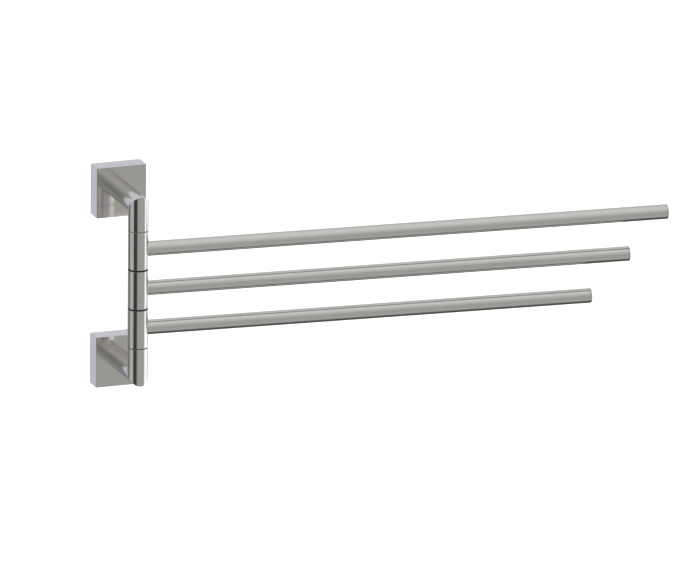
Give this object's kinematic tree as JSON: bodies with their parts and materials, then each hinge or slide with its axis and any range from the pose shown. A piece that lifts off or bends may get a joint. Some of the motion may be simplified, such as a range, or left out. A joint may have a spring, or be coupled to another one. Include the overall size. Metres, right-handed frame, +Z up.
{
  "type": "swing-arm towel rail",
  "caption": "Wall-mounted towel rail: square escutcheons and mitred posts hold a vertical column on which round arms of stepped length swing from wall to wall.",
  "frame": {"origin": "centre of the upper wall bracket's back face, on the wall", "axes": "+Z up, +Y into the wall, +X along the wall to the side the arms point to at rest"},
  "size_m": [0.5563, 0.1158, 0.2222],
  "materials": {
    "brushed_nickel": "brushed satin nickel, fine grain, mirror-like across the grain",
    "stainless": "turned stainless steel",
    "zinc_plate": "zinc-plated pressed steel, slightly blue and mottled",
    "brass": "turned brass",
    "black_nylon": "matt black nylon",
    "white_nylon": "natural white nylon"
  },
  "bodies": {
    "fixed_column": {"upper_wall_bracket": "zinc_plate", "upper_escutcheon": "brushed_nickel", "upper_grub_screw": "stainless", "upper_post_bolt": "stainless", "upper_spring_washer": "stainless", "upper_post_insert": "brass", "upper_elbow": "brushed_nickel", "upper_leg_insert": "brass", "lower_wall_bracket": "zinc_plate", "lower_escutcheon": "brushed_nickel", "lower_grub_screw": "stainless", "lower_post_bolt": "stainless", "lower_spring_washer": "stainless", "lower_post_insert": "brass", "lower_elbow": "brushed_nickel", "lower_leg_insert": "brass", "spindle": "stainless", "spindle_lock_screw": "stainless", "wave_spring": "stainless", "upper_end_washer": "black_nylon", "upper_hub_washer": "black_nylon", "lower_hub_washer": "black_nylon", "lower_end_washer": "black_nylon"},
    "upper_arm": {"upper_hub": "brushed_nickel", "upper_hub_top_bush": "white_nylon", "upper_hub_bottom_bush": "white_nylon", "upper_arm_tube": "brushed_nickel", "upper_arm_plug": "brass", "upper_arm_stud": "stainless", "upper_arm_end_cap": "brushed_nickel"},
    "middle_arm": {"middle_hub": "brushed_nickel", "middle_hub_top_bush": "white_nylon", "middle_hub_bottom_bush": "white_nylon", "middle_arm_tube": "brushed_nickel", "middle_arm_plug": "brass", "middle_arm_stud": "stainless", "middle_arm_end_cap": "brushed_nickel"},
    "lower_arm": {"lower_hub": "brushed_nickel", "lower_hub_top_bush": "white_nylon", "lower_hub_bottom_bush": "white_nylon", "lower_arm_tube": "brushed_nickel", "lower_arm_plug": "brass", "lower_arm_stud": "stainless", "lower_arm_end_cap": "brushed_nickel"}
  },
  "joints": [
    {"name": "upper_arm_swing", "type": "hinge", "parent": "fixed_column", "child": "upper_arm", "pos_m": [0, -0.0678, -0.04478], "axis": [0, 0, -1], "range_deg": [-4.4, 175.6]},
    {"name": "middle_arm_swing", "type": "hinge", "parent": "fixed_column", "child": "middle_arm", "pos_m": [0, -0.0678, -0.08453], "axis": [0, 0, -1], "range_deg": [-4.4, 175.6]},
    {"name": "lower_arm_swing", "type": "hinge", "parent": "fixed_column", "child": "lower_arm", "pos_m": [0, -0.0678, -0.12427], "axis": [0, 0, -1], "range_deg": [-4.4, 175.6]}
  ]
}
